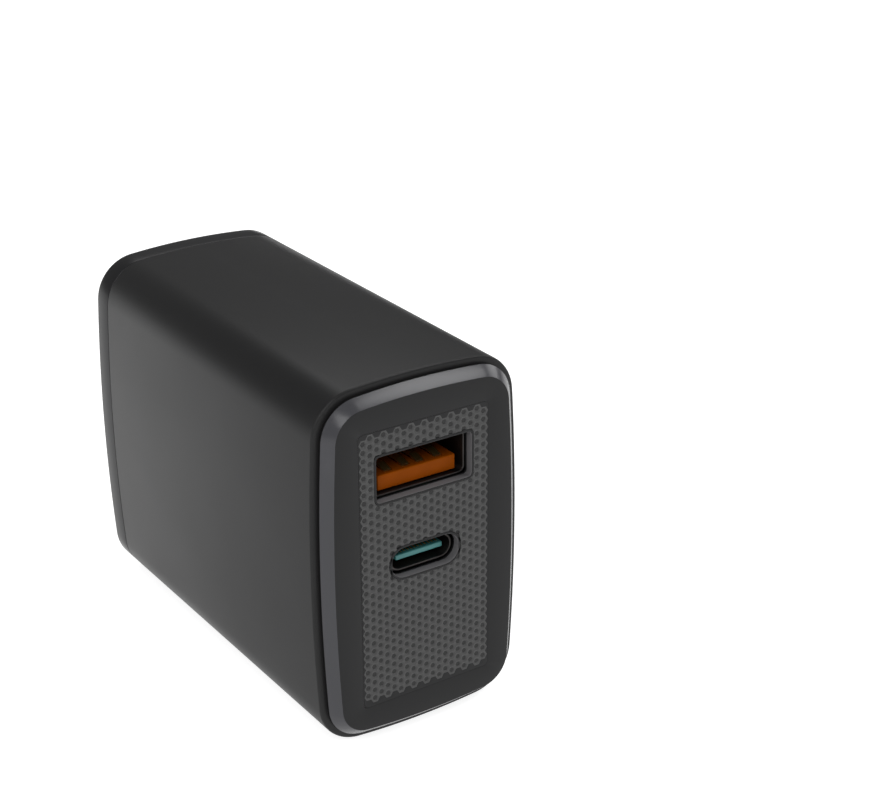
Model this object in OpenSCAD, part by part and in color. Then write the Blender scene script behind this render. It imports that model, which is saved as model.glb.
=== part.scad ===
// USB wall charger: a charging block with one USB-A and one USB-C port and two flat mains blades.
// Frame, in millimetres: the origin is the centre of the wall face. +Y leaves the wall face along
// the blades, -Y points to the ports, +Z runs along the long side and X along the short side.

/* [Case] */
// Width of the case along its short side
case_w = 29; // [28.8:0.2:32]
// Height of the case along its long side
case_h = 46.6; // [46.2:0.2:50]
// Depth from the port face to the wall face
case_l = 58.2; // [58:0.2:64]
// Radius of the case's long corners
corner_r = 5.8; // [5.4:0.1:6.4]
// Bulge of each long side over its length
long_bulge = 0.55; // [0.3:0.05:0.7]
// Bulge of each short side over its length
short_bulge = 0.35; // [0.2:0.05:0.6]
// Wall of the sleeve
wall = 1.8; // [1.6:0.1:2]

/* [Port face] */
// Thickness of the front plate, over which its edge is bevelled
plate_t = 1.35; // [1.2:0.05:1.5]
// Inset of the front plate's flat face
face_inset = 2; // [1.6:0.1:2.4]
// Inset of the front plate's back edge
bevel_inset = 0.85; // [0.7:0.05:1]
// Width of the dark gap between front plate and sleeve
gap_w = 0.55; // [0.4:0.05:0.7]
// Width of the textured panel
panel_w = 18; // [17.4:0.2:18.4]
// Height of the textured panel
panel_h = 35.8; // [34.8:0.2:36]
// Thickness of the textured panel
panel_t = 0.5; // [0.4:0.05:0.6]

/* [Ports] */
// Height of the USB-A port above the centre line
usb_a_z = 11.65; // [11.4:0.05:12]
// Height of the USB-C port above the centre line
usb_c_z = 0.1; // [-0.4:0.1:0.4]
// Width of the USB-A cut-out
usb_a_w = 13.2; // [13.2:0.05:13.5]
// Height of the USB-A cut-out
usb_a_h = 5.8; // [5.8:0.05:6]
// Width of the USB-C cut-out
usb_c_w = 9.55; // [9.4:0.05:9.8]
// Height of the USB-C cut-out
usb_c_h = 3.9; // [3.7:0.05:4.1]

/* [Mains blades] */
// Distance between the two blades
blade_pitch = 12.7; // [12.7:0.1:12.8]
// Width of a blade
blade_w = 6.35; // [6.2:0.05:6.5]
// Thickness of a blade
blade_t = 1.5; // [1.4:0.05:1.6]
// Length of a blade beyond the wall face
blade_out = 15.9; // [15.6:0.1:17]
// Radius of the hole in each blade
blade_hole_r = 1.6; // [1.5:0.05:1.7]
// Distance of the hole from the wall face
blade_hole_y = 10.8; // [10.4:0.1:11.2]
// Width of the rear cap's visible band
cap_band = 3.4; // [3:0.1:4]

/* [Boards] */
// Thickness of the main board
board_t = 1.6; // [1.5:0.05:1.6]
// Half height of the main board
board_half_h = 19; // [18.9:0.05:19]
// Thickness of the port board
port_board_t = 1.2; // [1:0.1:1.3]

/* [Hidden] */

// Places along the depth, from the ports to the wall
face_y = -case_l;
plate_back_y = face_y + plate_t;
sleeve_front_y = plate_back_y + gap_w;
collar_end_y = sleeve_front_y + 5.3;
port_board_y = face_y + 15;
main_board_front_y = port_board_y + port_board_t;
main_board_rear_y = -11;
skirt_end_y = -9;
cap_floor_y = -2.4;
carrier_y = -6.4;

// Fits and thin walls
fit_gap = 0.05;
skirt_t = 1.25;
skirt_inset = wall + fit_gap;
edge_break = 0.5;

// The main board stands on edge near the -X wall, and its parts rise towards +X
board_front_x = -8.5;
board_back_x = board_front_x - board_t;
spreader_t = 0.3;
back_part_t = 1.6;
chip_t = 1;

// Snap tabs of the collar, in pockets of the sleeve
tab_x = 13;
tab_z = 12;
tab_w = 5;
tab_y = [sleeve_front_y + 2.8, sleeve_front_y + 3.8];

// Transformer, wound about an axis along X
coil_y = -29.75;
coil_z = -3.5;
coil_post_r = 4;
coil_tape_r = 7.9;
core_plate_t = 3;
core_x = [board_front_x + 0.5, board_front_x + 16];
core_half_w = 7;
core_half_h = 10.5;
core_gap = 0.1;
bobbin_wall = 0.8;
window_x = [core_x[0] + core_plate_t + fit_gap, core_x[1] - core_plate_t - fit_gap];

// Common-mode choke, a ring about an axis along Y
choke_x = board_front_x + 6.9;
choke_z = 0.6;
choke_y = -16;
choke_r = [3.1, 6];
choke_w = 3.6;
choke_wire = 0.8;

// USB-A receptacle behind its cut-out
a_shell = [13.1, 5.7, 0.9];
shell_t = 0.3;
a_tongue_half_w = 5.4;
a_tongue_z = [usb_a_z - 2.28, usb_a_z - 0.35];
a_tongue_y = face_y + 1.75;
a_root_y = port_board_y - 3;
a_contact_xs = [-3.5, -1, 1, 3.5];
a_contact_w = 1;
a_contact_t = 0.25;
a_slot_w = 1.2;
a_slot_depth = 1.05;

// USB-C receptacle, standing on a riser that brings it up to its cut-out
c_shell = [8.94, 3.26, 1.6];
c_mouth_y = face_y + 1.15;
c_back_y = c_mouth_y + 10.5;
c_tongue_y = face_y + 1.45;
c_tongue = [6.6, 0.65];
c_wall_t = 0.3;
c_contact_pitch = 0.5;
c_contact_t = 0.06;

// One arc of points about centre c, without its last point
function arc(c, r, a0, a1, n) =
    [for (i = [0:n - 1]) let (a = a0 + (a1 - a0) * i / n) c + r * [cos(a), sin(a)]];

// Half the turn of a side of half length h and bulge b, and the radius of its centre line
function side_r(h, b) = (h * h + b * b) / (2 * b);

// The case outline, moved in by inset: four bulged sides joined by four corner arcs
function case_outline(inset) =
    let (cx = case_w / 2 - corner_r - long_bulge,
         cz = case_h / 2 - corner_r - short_bulge,
         rl = side_r(cz, long_bulge),
         rs = side_r(cx, short_bulge),
         tl = asin(cz / rl),
         ts = asin(cx / rs),
         sx = case_w / 2 - corner_r - rl,
         sz = case_h / 2 - corner_r - rs,
         r = corner_r - inset)
    concat(arc([sx, 0], rl + r, -tl, tl, 8),
           arc([cx, cz], r, tl, 90 - ts, 8),
           arc([0, sz], rs + r, 90 - ts, 90 + ts, 6),
           arc([-cx, cz], r, 90 + ts, 180 - tl, 8),
           arc([-sx, 0], rl + r, 180 - tl, 180 + tl, 8),
           arc([-cx, -cz], r, 180 + tl, 270 - ts, 8),
           arc([0, -sz], rs + r, 270 - ts, 270 + ts, 6),
           arc([cx, -cz], r, 270 + ts, 360 - tl, 8));

// A rectangle w by h with corners of radius r, centred
function round_rect(w, h, r) =
    concat(arc([w / 2 - r, h / 2 - r], r, 0, 90.01, 7),
           arc([-w / 2 + r, h / 2 - r], r, 90, 180.01, 7),
           arc([-w / 2 + r, -h / 2 + r], r, 180, 270.01, 7),
           arc([w / 2 - r, -h / 2 + r], r, 270, 360.01, 7));

// A flat shape in X and Z, made solid from y0 to y1
module prism(y0, y1) {
    translate([0, y1, 0])
        rotate([90, 0, 0])
            linear_extrude(y1 - y0) children();
}

// The case outline as a solid from y0 to y1
module case_prism(inset, y0, y1) {
    prism(y0, y1) polygon(case_outline(inset));
}

// A wall that follows the case outline between two insets
module case_ring(outer, inner, y0, y1) {
    difference() {
        case_prism(outer, y0, y1);
        case_prism(inner, y0 - 1, y1 + 1);
    }
}

// A block given by its lowest and highest place on each axis
module block(x, y, z) {
    translate([x[0], y[0], z[0]])
        cube([x[1] - x[0], y[1] - y[0], z[1] - z[0]]);
}

// A round bar along X
module rod_x(x, y, z, r) {
    translate([x[0], y, z])
        rotate([0, 90, 0])
            cylinder(h = x[1] - x[0], r = r, $fn = 48);
}

// A round bar along Y
module rod_y(x, y, z, r) {
    translate([x, y[1], z])
        rotate([90, 0, 0])
            cylinder(h = y[1] - y[0], r = r, $fn = 48);
}

// The clear shape of a port's cut-out at height z
module port_cut(w, h, r, z, y0, y1) {
    translate([0, 0, z])
        prism(y0, y1) polygon(round_rect(w, h, r));
}

module both_port_cuts(y0, y1) {
    port_cut(usb_a_w, usb_a_h, 0.5, usb_a_z, y0, y1);
    port_cut(usb_c_w, usb_c_h, usb_c_h / 2 - 0.01, usb_c_z, y0, y1);
}

// ---- Case ----

// Guide channel that holds one long edge of the main board
module board_guide(side) {
    lip = 0.7;
    slot_x = [board_back_x - fit_gap, board_front_x + fit_gap];
    y = [main_board_front_y, main_board_rear_y];
    z_in = board_half_h - lip;
    z_out = case_h / 2 - wall / 2;
    mirror([0, 0, side < 0 ? 1 : 0])
        difference() {
            block([slot_x[0] - lip, slot_x[1] + lip], y, [z_in, z_out]);
            block(slot_x, [y[0] - 1, y[1] + 1], [z_in - 1, board_half_h + fit_gap]);
        }
}

module sleeve() {
    color("#4c4c50") {
        difference() {
            case_ring(0, wall, sleeve_front_y, -cap_band);
            for (sx = [-1, 1])
                for (sz = [-1, 1])
                    translate([sx * (tab_x - 0.4), 0, sz * tab_z])
                        block([-0.5, 0.5], [tab_y[0] - 0.1, tab_y[1] + 0.1],
                              [-tab_w / 2 - 0.1, tab_w / 2 + 0.1]);
        }
        intersection() {
            union() {
                board_guide(1);
                board_guide(-1);
            }
            case_prism(wall / 2, sleeve_front_y, -cap_band);
        }
    }
}

module front_plate() {
    rib = [3.3, 4.2];
    color("#3c3c40")
        difference() {
            union() {
                hull() {
                    case_prism(bevel_inset, plate_back_y - 0.1, plate_back_y);
                    case_prism(face_inset, face_y, face_y + 0.02);
                }
                case_ring(rib[0], rib[1], plate_back_y - 0.1, plate_back_y + 1.8);
            }
            port_cut(panel_w, panel_h, 0.6, 0, face_y - 1, face_y + panel_t);
            both_port_cuts(face_y - 1, plate_back_y + 1);
        }
}

module front_collar() {
    inner = 3.2;
    color("#202022") {
        case_ring(face_inset - 1, inner, plate_back_y, sleeve_front_y);
        case_ring(skirt_inset, inner, sleeve_front_y - 0.05, collar_end_y);
        for (sx = [-1, 1])
            for (sz = [-1, 1])
                translate([sx * (tab_x - 0.6), 0, sz * tab_z])
                    block([-0.6, 0.6], tab_y, [-tab_w / 2, tab_w / 2]);
    }
}

module texture_panel() {
    color("#48484c")
        difference() {
            port_cut(panel_w - fit_gap, panel_h - fit_gap, 0.6, 0, face_y, face_y + panel_t);
            both_port_cuts(face_y - 1, face_y + 1);
        }
}

// The slots that both blades pass through
module blade_slots(y0, y1) {
    for (side = [-1, 1])
        translate([0, 0, side * blade_pitch / 2])
            block([-blade_w / 2 - fit_gap, blade_w / 2 + fit_gap], [y0, y1],
                  [-blade_t / 2 - fit_gap, blade_t / 2 + fit_gap]);
}

module rear_cap() {
    color("#45454a")
        difference() {
            union() {
                hull() {
                    case_prism(0, -cap_band, -edge_break);
                    case_prism(edge_break, -0.02, 0);
                }
                case_ring(skirt_inset, skirt_inset + skirt_t, skirt_end_y, -cap_band + 0.1);
            }
            case_prism(skirt_inset + skirt_t, skirt_end_y - 1, cap_floor_y);
            blade_slots(cap_floor_y - 1, 1);
        }
}

// ---- Mains inlet ----

// Insulating block behind the cap that the blades are moulded into
module blade_carrier() {
    color("#2c2c2e")
        difference() {
            block([-6.5, 6.5], [carrier_y, cap_floor_y], [-10.5, 10.5]);
            blade_slots(carrier_y - 1, cap_floor_y + 1);
            block([-4, 4], [carrier_y - 1, carrier_y + 2], [-3.5, 3.5]);
        }
}

// One flat blade with its hole, rounded and bevelled tip, shoulder and tail
module blade() {
    tip_drop = 1.6;
    tip_r = (blade_w * blade_w / 4 + tip_drop * tip_drop) / (2 * tip_drop);
    bevel_y = blade_out - 1.5;
    tip_half_t = 0.25;
    difference() {
        translate([0, 0, -blade_t / 2])
            linear_extrude(blade_t) {
                translate([-blade_w / 2, skirt_end_y])
                    square([blade_w, blade_out - tip_r + 0.1 - skirt_end_y]);
                translate([-blade_w / 2 - 0.9, carrier_y - 1])
                    square([blade_w + 1.8, 1]);
                intersection() {
                    translate([-blade_w / 2, blade_out - tip_r])
                        square([blade_w, tip_r + 1]);
                    translate([0, blade_out - tip_r])
                        circle(r = tip_r, $fn = 96);
                }
            }
        for (side = [0, 1])
            mirror([0, 0, side])
                translate([blade_w, 0, 0])
                    rotate([0, -90, 0])
                        linear_extrude(blade_w * 2)
                            polygon([[blade_t / 2, bevel_y], [blade_t, bevel_y],
                                     [blade_t, blade_out + 1], [tip_half_t, blade_out + 1],
                                     [tip_half_t, blade_out]]);
        translate([0, blade_hole_y, -blade_t])
            cylinder(h = blade_t * 2, r = blade_hole_r, $fn = 64);
    }
}

module line_blade() {
    color("#b4b4b0")
        translate([0, 0, blade_pitch / 2]) blade();
}

module neutral_blade() {
    color("#b4b4b0")
        translate([0, 0, -blade_pitch / 2]) blade();
}

// Bent strip from a blade's tail to the main board
module blade_strip() {
    strip_t = 0.4;
    z0 = blade_pitch / 2 + blade_t / 2;
    bend_y = main_board_rear_y - 1.4;
    block([-1.5, 1.5], [bend_y, carrier_y - 1.1], [z0, z0 + strip_t]);
    block([board_front_x, 1.5], [bend_y, bend_y + strip_t], [z0 - 1.6, z0 + 2.4]);
}

module line_contact() {
    color("#b87840") blade_strip();
}

module neutral_contact() {
    color("#b87840") mirror([0, 0, 1]) blade_strip();
}

// ---- Boards ----

module main_board() {
    color("#1f5138")
        block([board_back_x, board_front_x], [main_board_front_y, main_board_rear_y],
              [-board_half_h, board_half_h]);
}

module port_board() {
    color("#1f5138") case_prism(2.6, port_board_y, main_board_front_y);
}

// ---- Transformer ----

// One half of the core: a plate, the centre post and two outer legs
module core_half(x_plate, x_legs) {
    block(x_plate, [coil_y - core_half_w, coil_y + core_half_w],
          [coil_z - core_half_h, coil_z + core_half_h]);
    rod_x(x_legs, coil_y, coil_z, coil_post_r);
    for (side = [-1, 1])
        translate([0, 0, coil_z + side * (core_half_h - 1.15)])
            block(x_legs, [coil_y - core_half_w, coil_y + core_half_w], [-1.15, 1.15]);
}

module transformer_core() {
    mid_x = (core_x[0] + core_x[1]) / 2;
    color("#303032") {
        core_half([core_x[0], core_x[0] + core_plate_t],
                  [core_x[0] + core_plate_t - 0.1, mid_x - core_gap / 2]);
        core_half([core_x[1] - core_plate_t, core_x[1]],
                  [mid_x + core_gap / 2, core_x[1] - core_plate_t + 0.1]);
    }
}

// A tube about the transformer's axis
module coil_tube(x, r_in, r_out) {
    difference() {
        rod_x(x, coil_y, coil_z, r_out);
        rod_x([x[0] - 1, x[1] + 1], coil_y, coil_z, r_in);
    }
}

module transformer_bobbin() {
    flange_r = 8.05;
    rail_y = [core_half_w + fit_gap, core_half_w + 2.4];
    bore_r = coil_post_r + fit_gap;
    color("#18181a") {
        coil_tube(window_x, bore_r, bore_r + bobbin_wall);
        for (x0 = [window_x[0], window_x[1] - bobbin_wall])
            coil_tube([x0, x0 + bobbin_wall], bore_r, flange_r);
        for (side = [0, 1])
            translate([0, coil_y, coil_z])
                mirror([0, side, 0])
                    difference() {
                        block([board_front_x, window_x[0] + bobbin_wall], rail_y, [-6, 6]);
                        for (z = [-4, 0, 4])
                            block([board_front_x - 1, window_x[0] - 1],
                                  [rail_y[1] - 0.8, rail_y[1] + 1], [z - 0.6, z + 0.6]);
                    }
    }
}

module transformer_winding() {
    wound_x = [window_x[0] + bobbin_wall, window_x[1] - bobbin_wall];
    color("#b8743a")
        coil_tube(wound_x, coil_post_r + fit_gap + bobbin_wall, coil_tape_r - 0.3);
}

module transformer_tape() {
    wound_x = [window_x[0] + bobbin_wall, window_x[1] - bobbin_wall];
    color("#d8b83c") coil_tube(wound_x, coil_tape_r - 0.3, coil_tape_r);
}

// ---- Mains-side parts on the main board ----

module bulk_capacitors() {
    can_r = 5;
    can_l = 19.5;
    neck_x = board_front_x + 2;
    color("#26263a")
        for (y = [-25, -36])
            difference() {
                rod_x([board_front_x, board_front_x + can_l], y, 13.2, can_r);
                difference() {
                    rod_x([neck_x, neck_x + 0.8], y, 13.2, can_r + 1);
                    rod_x([neck_x - 1, neck_x + 1.8], y, 13.2, can_r - 0.4);
                }
            }
}

module choke_core() {
    color("#3a4a3c")
        difference() {
            rod_y(choke_x, [choke_y - choke_w / 2, choke_y + choke_w / 2], choke_z, choke_r[1]);
            rod_y(choke_x, [choke_y - choke_w, choke_y + choke_w], choke_z, choke_r[0]);
        }
}

// Two windings that wrap opposite sides of the ring
module choke_winding() {
    half_w = choke_w / 2;
    color("#b8743a")
        for (start = [-60, 120])
            translate([choke_x, choke_y, choke_z])
                rotate([90, 0, 0])
                    rotate([0, 0, start])
                        rotate_extrude(angle = 120, $fn = 64)
                            difference() {
                                translate([choke_r[0] - choke_wire, -half_w - choke_wire])
                                    square([choke_r[1] - choke_r[0] + 2 * choke_wire,
                                            choke_w + 2 * choke_wire]);
                                translate([choke_r[0], -half_w])
                                    square([choke_r[1] - choke_r[0], choke_w]);
                            }
}

module bridge_rectifier() {
    color("#161618")
        block([board_back_x - back_part_t, board_back_x], [-19, -12], [4, 12]);
}

module fuse() {
    color("#6a3a24")
        block([board_front_x, board_front_x + 8], [-18.4, -13.4], [8.3, 12.5]);
}

// A disc that stands on edge on the board, with its axis along Z
module standing_disc(y, z, r, t) {
    foot = 0.8;
    translate([board_front_x + r + foot, y, z - t / 2]) cylinder(h = t, r = r, $fn = 48);
    for (side = [-1, 1])
        rod_x([board_front_x, board_front_x + r], y + side * r * 0.6, z, 0.35);
}

module inrush_thermistor() {
    color("#22342a") standing_disc(-16, 15.7, 3.5, 3.4);
}

module x_capacitor() {
    color("#c8b04a")
        block([board_front_x, board_front_x + 11], [-18.5, -13.2], [-18.2, -6.5]);
}

module y_capacitor() {
    color("#3a6ca0") standing_disc(-24, -16.5, 4, 3.2);
}

module bias_capacitor() {
    color("#26263a")
        rod_x([board_front_x, board_front_x + 8], -30.6, -16.2, 2);
}

module optocoupler() {
    color("#161618")
        block([board_front_x, board_front_x + 2], [-40, -34], [-18, -14.4]);
}

// ---- Chips on the back of the main board, and the heat path to the case ----

// A chip lying on the back of the main board
module back_chip(y, z) {
    color("#161618") block([board_back_x - chip_t, board_back_x], y, z);
}

module power_switch() {
    back_chip([-28, -20], [-9, -3]);
}

module sync_rectifier() {
    back_chip([-40, -34], [-9, -3]);
}

module pwm_controller() {
    back_chip([-33, -28], [2, 6]);
}

module thermal_pads() {
    color("#9aa0a6")
        for (y = [[-28, -20], [-40, -34]])
            block([board_back_x - back_part_t, board_back_x - chip_t], y, [-9, -3]);
}

module heat_spreader() {
    x = board_back_x - back_part_t;
    color("#b8b8b4")
        block([x - spreader_t, x], [main_board_front_y + 1, main_board_rear_y - 1], [-16, 16]);
}

module insulation_sheet() {
    color("#e0dcc8")
        block([11.3, 11.55], [main_board_front_y + 1, main_board_rear_y - 1], [-16, 16]);
}

// ---- Output parts on the port board ----

module output_capacitors() {
    color("#b4b4b0")
        for (side = [-1, 1])
            rod_y(side * 4.2, [port_board_y - 8, port_board_y], -8.6, 3.15);
}

module output_inductor() {
    color("#3a3a3c")
        block([-8, -1], [port_board_y - 4, port_board_y], [-19.4, -12.6]);
}

module protocol_chip() {
    color("#161618")
        block([4.5, 9], [port_board_y - 0.9, port_board_y], [-18, -13.5]);
}

// ---- USB-A receptacle ----

module usb_a_shell() {
    color("#8c8c88")
        difference() {
            port_cut(a_shell[0], a_shell[1], a_shell[2], usb_a_z, plate_back_y, port_board_y);
            port_cut(a_shell[0] - 2 * shell_t, a_shell[1] - 2 * shell_t, a_shell[2] - shell_t,
                     usb_a_z, plate_back_y - 1, port_board_y + 1);
        }
}

// The strip shape of a USB-A pin where it passes through the rear block
module usb_a_pin_bars(y0, y1) {
    for (x = a_contact_xs)
        block([x - a_contact_w / 2, x + a_contact_w / 2], [y0, y1],
              [a_tongue_z[1] - 0.4, a_tongue_z[1] - 0.4 + a_contact_t]);
}

module usb_a_tongue() {
    block_half_w = a_shell[0] / 2 - shell_t - fit_gap;
    block_half_h = a_shell[1] / 2 - shell_t - fit_gap;
    slot_floor = a_tongue_z[1] - a_slot_depth;
    color("#b05008")
        difference() {
            union() {
                block([-a_tongue_half_w, a_tongue_half_w], [a_tongue_y, a_root_y + 0.1],
                      a_tongue_z);
                port_cut(2 * block_half_w, 2 * block_half_h, 0.5, usb_a_z,
                         a_root_y, port_board_y);
            }
            for (x = a_contact_xs)
                block([x - a_slot_w / 2, x + a_slot_w / 2], [a_tongue_y + 0.6, a_root_y],
                      [slot_floor, a_tongue_z[1] + 1]);
            usb_a_pin_bars(a_root_y - 1, port_board_y + 1);
        }
}

// Four leaf springs that rise above the tongue and press on the plug's contacts
module usb_a_contacts() {
    root_y = a_root_y - 0.1;
    crest_y = a_tongue_y + 2.4;
    tip_y = a_tongue_y + 0.9;
    root_z = a_tongue_z[1] - 0.4;
    crest_z = a_tongue_z[1] + 0.1;
    tip_z = a_tongue_z[1] - 0.2;
    rise = [0, a_contact_t];
    color("#c8a24c")
        for (x = a_contact_xs)
            translate([x + a_contact_w / 2, 0, 0])
                rotate([0, -90, 0])
                    linear_extrude(a_contact_w)
                        polygon([[root_z, root_y], [crest_z, crest_y], [tip_z, tip_y],
                                 [tip_z + rise[1], tip_y], [crest_z + rise[1], crest_y],
                                 [root_z + rise[1], root_y]]);
}

module usb_a_pins() {
    color("#c8a24c") usb_a_pin_bars(a_root_y, port_board_y);
}

// ---- USB-C receptacle ----

module usb_c_shell() {
    color("#8c8c88")
        difference() {
            port_cut(c_shell[0], c_shell[1], c_shell[2], usb_c_z, c_mouth_y, c_back_y);
            port_cut(c_shell[0] - 2 * c_wall_t, c_shell[1] - 2 * c_wall_t,
                     c_shell[2] - c_wall_t, usb_c_z, c_mouth_y - 1, c_back_y + 1);
        }
}

module usb_c_tongue() {
    plug_y = c_back_y - 2;
    color("#4c8c88") {
        block([-c_tongue[0] / 2, c_tongue[0] / 2], [c_tongue_y, plug_y + 0.1],
              [usb_c_z - c_tongue[1] / 2, usb_c_z + c_tongue[1] / 2]);
        port_cut(c_shell[0] - 2 * c_wall_t - 0.1, c_shell[1] - 2 * c_wall_t - 0.1,
                 c_shell[2] - c_wall_t - 0.05, usb_c_z, plug_y, c_back_y);
    }
}

// Twelve flat contact strips on each face of the tongue
module usb_c_contacts() {
    strip_w = 0.28;
    half = c_tongue[1] / 2;
    color("#c8a24c")
        for (i = [-5.5:5.5])
            for (side = [0, 1])
                translate([i * c_contact_pitch, 0, usb_c_z])
                    mirror([0, 0, side])
                        block([-strip_w / 2, strip_w / 2], [c_tongue_y + 0.5, c_back_y - 2],
                              [half, half + c_contact_t]);
}

module usb_c_riser() {
    color("#202022")
        block([-c_shell[0] / 2, c_shell[0] / 2], [c_back_y, port_board_y],
              [usb_c_z - c_shell[1] / 2, usb_c_z + c_shell[1] / 2]);
}

sleeve();
front_plate();
front_collar();
texture_panel();
rear_cap();
blade_carrier();
line_blade();
neutral_blade();
line_contact();
neutral_contact();
main_board();
port_board();
transformer_core();
transformer_bobbin();
transformer_winding();
transformer_tape();
bulk_capacitors();
choke_core();
choke_winding();
bridge_rectifier();
fuse();
inrush_thermistor();
x_capacitor();
y_capacitor();
bias_capacitor();
optocoupler();
power_switch();
sync_rectifier();
pwm_controller();
thermal_pads();
heat_spreader();
insulation_sheet();
output_capacitors();
output_inductor();
protocol_chip();
usb_a_shell();
usb_a_tongue();
usb_a_contacts();
usb_a_pins();
usb_c_shell();
usb_c_tongue();
usb_c_contacts();
usb_c_riser();
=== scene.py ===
import math

import bmesh
import bpy
from mathutils import Euler, Matrix, Vector


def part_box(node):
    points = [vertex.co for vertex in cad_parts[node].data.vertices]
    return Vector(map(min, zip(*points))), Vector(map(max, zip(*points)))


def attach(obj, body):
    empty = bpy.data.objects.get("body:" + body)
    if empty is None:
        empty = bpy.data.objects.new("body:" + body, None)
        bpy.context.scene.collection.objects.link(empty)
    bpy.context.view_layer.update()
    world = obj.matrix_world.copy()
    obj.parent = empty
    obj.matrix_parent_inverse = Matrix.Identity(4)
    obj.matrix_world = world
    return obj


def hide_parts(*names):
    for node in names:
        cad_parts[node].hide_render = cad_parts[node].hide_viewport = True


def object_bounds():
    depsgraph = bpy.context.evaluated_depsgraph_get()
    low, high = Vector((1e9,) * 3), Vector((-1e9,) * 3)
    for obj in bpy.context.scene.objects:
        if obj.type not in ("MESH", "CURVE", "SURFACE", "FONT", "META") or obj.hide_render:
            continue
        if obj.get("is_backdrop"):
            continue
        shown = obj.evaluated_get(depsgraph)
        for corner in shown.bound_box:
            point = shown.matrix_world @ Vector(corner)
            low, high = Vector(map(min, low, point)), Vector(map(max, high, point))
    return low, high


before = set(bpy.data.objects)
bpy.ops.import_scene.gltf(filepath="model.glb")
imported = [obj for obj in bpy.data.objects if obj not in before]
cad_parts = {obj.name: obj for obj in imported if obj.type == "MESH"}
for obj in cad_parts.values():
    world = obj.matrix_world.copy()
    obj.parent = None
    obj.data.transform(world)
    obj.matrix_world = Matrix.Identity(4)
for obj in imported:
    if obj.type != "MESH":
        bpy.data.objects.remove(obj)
cad_low, cad_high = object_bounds()
MM = 0.001
BODY = "charger"
SPRINGS = "usb_a_springs"

# ---- Studio ----
# The charger stands on its narrow long side on a pale table, with its ports turned a little to
# the right, seen from above the left front edge with a long lens.
CAMERA_PLACE = Vector((-110.83, -226.24, 108.25)) * MM
CAMERA_YAW = math.radians(33.786)
CAMERA_PITCH = math.radians(23.638)
CAMERA_ROLL = math.radians(-0.402)
CAMERA_LENS = 79.65

camera = bpy.data.objects.new("camera", bpy.data.cameras.new("camera"))
camera.data.lens = CAMERA_LENS
camera.data.clip_start = 0.01
camera.data.clip_end = 20
aim = Euler((math.pi / 2 - CAMERA_PITCH, 0, -CAMERA_YAW)).to_matrix().to_4x4()
camera.matrix_world = Matrix.Translation(CAMERA_PLACE) @ aim @ Matrix.Rotation(CAMERA_ROLL, 4, "Z")
bpy.context.scene.collection.objects.link(camera)
bpy.context.scene.camera = camera
bpy.context.scene.view_settings.view_transform = "Standard"

world = bpy.data.worlds.new("studio_room")
world.use_nodes = True
room = world.node_tree.nodes["Background"]
room.inputs["Color"].default_value = (1.0, 1.0, 1.0, 1)
room.inputs["Strength"].default_value = 0.17
bpy.context.scene.world = world


def softbox(name, bearing, height_angle, distance, width, height, power):
    """A rectangular studio light that faces the charger, its distance and size in millimetres."""
    lamp = bpy.data.lights.new(name, "AREA")
    lamp.shape = "RECTANGLE"
    lamp.size = width * MM
    lamp.size_y = height * MM
    lamp.energy = power
    obj = bpy.data.objects.new(name, lamp)
    swing = Matrix.Rotation(math.radians(-bearing), 3, "Z")
    outward = swing @ Matrix.Rotation(math.radians(height_angle), 3, "X") @ Vector((0, 1, 0))
    obj.location = outward * distance * MM
    obj.rotation_mode = "QUATERNION"
    obj.rotation_quaternion = (-outward).to_track_quat("-Z", "Y")
    bpy.context.scene.collection.objects.link(obj)


softbox("front_key", 119, 54, 1300, 420, 420, 5.4)
softbox("left_softbox", -90, 25, 1300, 700, 500, 3.5)
softbox("front_left_softbox", -146, 40, 1300, 600, 600, 6.8)
softbox("back_softbox", 34, 55, 1300, 700, 500, 4.5)
softbox("right_softbox", 90, 25, 1300, 600, 500, 4)


def keyed(tree, kind, place=(0, 0), **values):
    """A new node of that kind with its properties set."""
    node = tree.nodes.new(kind)
    node.location = place
    for key, value in values.items():
        setattr(node, key, value)
    return node


def new_material(name):
    """An empty material with its Principled shader."""
    material = bpy.data.materials.new(name)
    material.use_nodes = True
    return material, material.node_tree, material.node_tree.nodes["Principled BSDF"]


floor_material, tree, shader = new_material("pale_table")
shader.inputs["Base Color"].default_value = (0.5, 0.5, 0.5, 1)
shader.inputs["Roughness"].default_value = 0.9
shader.inputs["Specular IOR Level"].default_value = 0.1
shader.inputs["Emission Color"].default_value = (1, 1, 1, 1)
shader.inputs["Emission Strength"].default_value = 0.82
bm = bmesh.new()
bmesh.ops.create_grid(bm, x_segments=1, y_segments=1, size=3)
bmesh.ops.translate(bm, verts=bm.verts, vec=(0, 0, cad_low.z - 0.05 * MM))
floor_mesh = bpy.data.meshes.new("table_top")
bm.to_mesh(floor_mesh)
bm.free()
floor_mesh.materials.append(floor_material)
table_top = bpy.data.objects.new("table_top", floor_mesh)
bpy.context.scene.collection.objects.link(table_top)
table_top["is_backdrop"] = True

# ---- Finishes that several pieces share ----
# Moulded plastic carries the fine pits of its steel mould. Edges that rub in a bag turn paler
# and smoother; their paler colour is partly that wear and partly a painted highlight. Handling
# leaves faint cloudy smears.


def shared_effect(name, inputs, outputs):
    """A node group with those sockets, and its two end nodes."""
    group = bpy.data.node_groups.new(name, "ShaderNodeTree")
    for label, kind, value in inputs:
        socket = group.interface.new_socket(label, in_out="INPUT", socket_type=kind)
        socket.default_value = value
    for label, kind in outputs:
        group.interface.new_socket(label, in_out="OUTPUT", socket_type=kind)
    start = keyed(group, "NodeGroupInput", (-900, 0))
    end = keyed(group, "NodeGroupOutput", (700, 0))
    return group, start, end


FLOAT = "NodeSocketFloat"
COLOUR = "NodeSocketColor"
NORMAL = "NodeSocketVector"

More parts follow.
